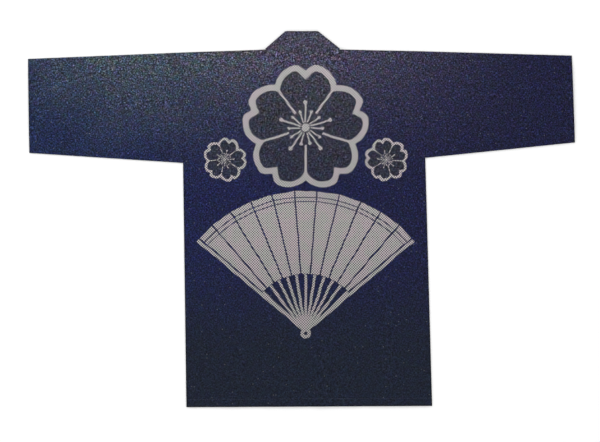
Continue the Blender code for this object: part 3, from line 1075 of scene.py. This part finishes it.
class HappiClothSettings(bpy.types.PropertyGroup):
    """The cotton of every panel."""

    left_navy: colour("Left navy", "Dye of the left sleeve", (0.0066, 0.0130, 0.0490))
    middle_navy: colour("Middle navy", "Dye of the body", (0.0082, 0.0102, 0.0450))
    right_navy: colour("Right navy", "Dye of the right sleeve", (0.0080, 0.0090, 0.0330))
    low_navy: colour("Low navy", "Dye near the hem, darker and greener", (0.0082, 0.0118, 0.0240))
    # Tones towards the top left: fade and painted sheen together
    left_faded: colour("Left faded", "Faded dye on the left sleeve", (0.0435, 0.0565, 0.0745))
    right_faded: colour("Right faded", "Faded dye at the shoulders", (0.0490, 0.0455, 0.0710))
    # Pale specks, more of them under the painted sheen
    nep: colour("Neps", "Knots of undyed fibre", (0.30, 0.31, 0.32))
    # Fleck strength includes painted glints; the fade strength includes painted sheen
    flecks: factor("Flecks", "Strength of the flecks", 1.0)
    fading: factor("Fading", "Strength of the fading", 1.0)
    thread: measure("Thread pitch", "Between neighbouring threads of the weave", 0.0007)


class HappiPrintSettings(bpy.types.PropertyGroup):
    """The screen print on the back."""

    grey: colour("Grey", "Ink of the print", (0.480, 0.420, 0.430))
    cool_grey: colour("Cool grey", "Ink where it turns greener", (0.425, 0.430, 0.395))
    grey_gap: colour("Grey gap", "Ink between the screen's dots", (0.020, 0.019, 0.034))
    fill: colour("Fill", "Dark ink inside a blossom", (0.031, 0.032, 0.027))
    fill_share: factor("Fill strength", "How far the dark ink hides the dye", 0.45)
    strength: factor("Ink strength", "Strength of the grey ink at mid height", 1.26)
    paler_upward: factor("Paler upward", "Added to that strength over each metre up", 0.84)
    centre_x: measure("Centre", "Middle of the print", 0.0100)
    blossom_y: measure("Blossom height", "Blossom's middle", 0.2150)
    blossom_size: measure("Blossom size", "Centre to tip", 0.150)
    outline: measure("Outline", "Width of the outline", 0.0135)
    small_off_centre: measure("Small blossoms apart", "From the middle of the print", 0.190)
    small_y: measure("Small blossoms height", "Their middle", 0.140)
    small_size: measure("Small blossom size", "Centre to tip", 0.052)
    fan_y: measure("Fan pivot", "Height of the pivot", -0.268)
    fan_radius: measure("Fan radius", "Pivot to leaf end", 0.335)
    leaf_start: factor("Leaf start", "Share of the radius", 0.42)
    fan_spread: FloatProperty(
        name="Fan spread", description="Half the opening", subtype="ANGLE", default=0.87
    )
    pleats: IntProperty(name="Pleats", description="Pleats in the leaf", default=11, min=3)
    parting: measure("Parting", "Dark line between pleats", 0.0034)
    screen_pitch: measure("Screen pitch", "Dot to dot", 0.0060)
    edge_bite: measure("Edge bite", "How far the screen's dots break the edges", 0.0011)
    drift: measure("Drift", "Unevenness of the drawn lines", 0.0045)


class HappiSewingSettings(bpy.types.PropertyGroup):
    """Hems, seams and thread."""

    hem_width: measure("Hem width", "Depth of the turned hem", 0.020)
    hem_rise: measure("Hem rise", "Extra height of a hem", 0.00035)
    stitch_inset: measure("Stitch inset", "Stitches to the hem's inner edge", 0.002)
    stitch_dip: measure("Stitch dip", "How far stitches draw the cloth in", 0.00035)
    dip_width: measure("Dip width", "Half width of that dip", 0.0014)
    stitch_length: measure("Stitch", "Length of a stitch", 0.0026)
    stitch_gap: measure("Stitch gap", "Between stitches", 0.0008)
    thread: measure("Thread", "Width of the thread", 0.00050)
    thread_colour: colour("Thread colour", "Sewing thread", (0.030, 0.033, 0.085))
    collar_stitch: measure("Collar stitch", "Seam edge to the band's stitches", 0.0030)
    allowance: measure("Seam allowance", "Width pressed under the sleeve", 0.011)
    allowance_rise: measure("Allowance rise", "Height it gives the sleeve", 0.00035)


class HappiStageSettings(bpy.types.PropertyGroup):
    """Floor, lights and camera."""

    floor: colour("Floor", "Colour of the floor", (0.94, 0.94, 0.94))
    sky: factor("Sky", "Strength of the even light", 1.0)
    key: FloatProperty(
        name="Key light", description="Power of the soft key light", unit="POWER", default=22.0
    )
    lens: FloatProperty(name="Lens", description="Focal length in millimetres", default=85.0)
    view_width: measure("View width", "Width seen on the floor", 1.41)
    aim_x: measure("Aim across", "Middle of the view", -0.0036)
    aim_y: measure("Aim along", "Middle of the view", -0.0044)


class HAPPI_OT_back(bpy.types.Operator):
    """Make the back, with its print, its hem and its stitches"""

    bl_idname = "happi.back"
    bl_label = "Back"

    def execute(self, context):
        scene = context.scene
        sewing = scene.happi_sewing
        start, left = (shoulder_point(LEFT, share).x for share in (1, 0))
        right, end = (shoulder_point(RIGHT, share).x for share in (0, 1))
        columns = [0.0]
        for first, last in ((start, left), (left, right), (right, end)):
            shares = places(last - first, CELL)[1:]
            columns += [(mix(first, last, share) - start) / (end - start) for share in shares]
        height = LEFT.neck.y - LEFT.hem.y
        rows = body_rows(height, CELL, sewing)
        surface = partial(back_surface, sewing=sewing)
        shape = sheet_shape(columns, rows, surface, outer_face_down=False)
        printed = printed_material(scene.happi_cloth, scene.happi_print)
        cottons = [printed, inside_material(scene.happi_cloth)]
        along = stitch_place(sewing) / height
        lines = [((LONG_END, along), (1 - LONG_END, along), 1)]
        piece, line = make_panel("back", shape, cottons, "back_hem_stitches", lines, surface, sewing)
        return {"FINISHED"}


class HAPPI_OT_fronts(bpy.types.Operator):
    """Make the two fronts, which lie face down under the back"""

    bl_idname = "happi.fronts"
    bl_label = "Fronts"

    def execute(self, context):
        scene = context.scene
        sewing = scene.happi_sewing
        cotton = dyed_material("navy_cotton", scene.happi_cloth, fading=0.6, flecks=0.8)[0]
        for side in (LEFT, RIGHT):
            node = f"front_{side.name}"
            height = side.neck.y - side.hem.y
            columns = places(abs(side.hem.x - collar_seam_low(side).x), 2 * CELL)
            rows = body_rows(height, 2 * CELL, sewing)
            surface = partial(front_surface, side, sewing=sewing)
            shape = sheet_shape(columns, rows, surface, outer_face_down=True)
            along = stitch_place(sewing) / height
            lines = [((SHORT_END, along), (1 - SHORT_END, along), -1)]
            stitches = f"{node}_hem_stitches"
            piece, line = make_panel(node, shape, [cotton], stitches, lines, surface, sewing)
        return {"FINISHED"}


class HAPPI_OT_sleeves(bpy.types.Operator):
    """Make the two sleeves, each a flat tube with a hemmed cuff"""

    bl_idname = "happi.sleeves"
    bl_label = "Sleeves"

    def execute(self, context):
        scene = context.scene
        sewing = scene.happi_sewing
        cotton = dyed_material("navy_cotton_sleeve", scene.happi_cloth)[0]
        inside = inside_material(scene.happi_cloth)
        edges = [index / EDGE_CELLS for index in range(EDGE_CELLS)]
        for side in (LEFT, RIGHT):
            node = f"sleeve_{side.name}"
            length = (side.cuff_top - side.armhole_top).length
            drop = (side.armhole_top - side.underarm).length
            hem_line = length - sewing.hem_width + sewing.stitch_inset
            rows = places(length, CELL, [hem_line])
            flats = places(drop, CELL)[:-1]
            shares = (flats, edges, flats, edges)
            rounds = [stretch + share for stretch in range(4) for share in shares[stretch]]
            surface = partial(sleeve_surface, side, sewing=sewing)
            shape = tube_shape(rounds, rows, surface, inside_out=side is RIGHT)
            along = hem_line / length
            layers = ((0, -1), (2, 1))
            lines = [
                ((layer + SHORT_END, along), (layer + 1 - SHORT_END, along), upward)
                for layer, upward in layers
            ]
            stitches = f"cuff_{side.name}_stitches"
            piece, line = make_panel(node, shape, [cotton, inside], stitches, lines, surface, sewing)
        return {"FINISHED"}


class HAPPI_OT_collar(bpy.types.Operator):
    """Make the folded collar band, from hem to hem round the neck"""

    bl_idname = "happi.collar"
    bl_label = "Collar band"

    def execute(self, context):
        scene = context.scene
        sewing = scene.happi_sewing
        leg = (collar_seam_top(LEFT) - collar_seam_low(LEFT)).length
        neck = (collar_seam_top(RIGHT) - collar_seam_top(LEFT)).length
        leg_cells = round(leg / (2 * CELL))
        rows = [0.0]
        for stretch, count in enumerate((leg_cells, TURN_CELLS, round(neck / CELL), TURN_CELLS, leg_cells)):
            rows += [stretch + (index + 1) / count for index in range(count)]
        columns = places(COLLAR_WIDTH, COLLAR_WIDTH / BAND_CELLS, [sewing.collar_stitch])
        surface = partial(collar_surface, sewing=sewing)
        shape = sheet_shape(columns, rows, surface, outer_face_down=True)
        cotton = dyed_material("collar_cotton", scene.happi_cloth, fading=0.96, flecks=0.78)[0]
        across = sewing.collar_stitch / COLLAR_WIDTH
        ways = ((LONG_END, 1, -1), (2 + SHORT_END, 3 - SHORT_END, 1), (4, 5 - LONG_END, -1))
        lines = [((across, start), (across, end), upward) for start, end, upward in ways]
        slot = "collar_cotton"
        wall = {"wall": COLLAR_BAND, "rim": BAND_RIM, "rim_cells": 4}
        piece, line = make_panel(
            "collar", shape, [cotton], "collar_stitches", lines, surface, sewing, slot, **wall
        )
        return {"FINISHED"}


class HAPPI_OT_stage(bpy.types.Operator):
    """Make the pale floor, the soft light and the camera straight above"""

    bl_idname = "happi.stage"
    bl_label = "Stage"

    def execute(self, context):
        scene = context.scene
        stage = scene.happi_stage
        shape = bmesh.new()
        bmesh.ops.create_grid(shape, x_segments=2, y_segments=2, size=FLOOR_HALF)
        bmesh.ops.translate(shape, verts=shape.verts, vec=(0, 0, -FLOOR_DROP))
        put("floor", mesh_from("floor", shape, [floor_material(stage.floor)]))
        scene.world = bpy.data.worlds.new("even_light")
        scene.world.use_nodes = True
        background = scene.world.node_tree.nodes["Background"].inputs
        background["Color"].default_value = (1, 1, 1, 1)
        background["Strength"].default_value = stage.sky
        lamp = bpy.data.lights.new("key_light", "AREA")
        lamp.energy = stage.key
        lamp.size = LAMP_SIZE
        key = put("key_light", lamp)
        key.location = LAMP_PLACE
        key.rotation_euler = (-key.location).to_track_quat("-Z", "Y").to_euler()
        eye = bpy.data.cameras.new("camera")
        eye.lens = stage.lens
        camera = put("camera", eye)
        camera.location = (stage.aim_x, stage.aim_y, stage.view_width * eye.lens / eye.sensor_width)
        scene.camera = camera
        scene.view_settings.view_transform = "Standard"
        return {"FINISHED"}


PIECES = (HAPPI_OT_stage, HAPPI_OT_back, HAPPI_OT_fronts, HAPPI_OT_sleeves, HAPPI_OT_collar)
SETTINGS = {
    "happi_cloth": HappiClothSettings,
    "happi_print": HappiPrintSettings,
    "happi_sewing": HappiSewingSettings,
    "happi_stage": HappiStageSettings,
}


class HAPPI_PT_panel(bpy.types.Panel):
    """Lists the coat's pieces and their settings"""

    bl_idname = "HAPPI_PT_panel"
    bl_label = "Happi coat"
    bl_space_type = "VIEW_3D"
    bl_region_type = "UI"
    bl_category = "Happi"

    def draw(self, context):
        for operator in PIECES:
            self.layout.operator(operator.bl_idname)
        for settings in SETTINGS:
            group = getattr(context.scene, settings)
            box = self.layout.box()
            box.label(text=group.bl_rna.description)
            for name in group.__annotations__:
                box.prop(group, name)


def register():
    for kind in (*SETTINGS.values(), *PIECES, HAPPI_PT_panel):
        bpy.utils.register_class(kind)
    for name, settings in SETTINGS.items():
        setattr(bpy.types.Scene, name, PointerProperty(type=settings))


def unregister():
    for name in SETTINGS:
        delattr(bpy.types.Scene, name)
    for kind in (HAPPI_PT_panel, *PIECES, *SETTINGS.values()):
        bpy.utils.unregister_class(kind)


def main():
    register()
    bpy.ops.happi.stage()
    bpy.ops.happi.back()
    bpy.ops.happi.fronts()
    bpy.ops.happi.sleeves()
    bpy.ops.happi.collar()


if __name__ == "__main__":
    main()
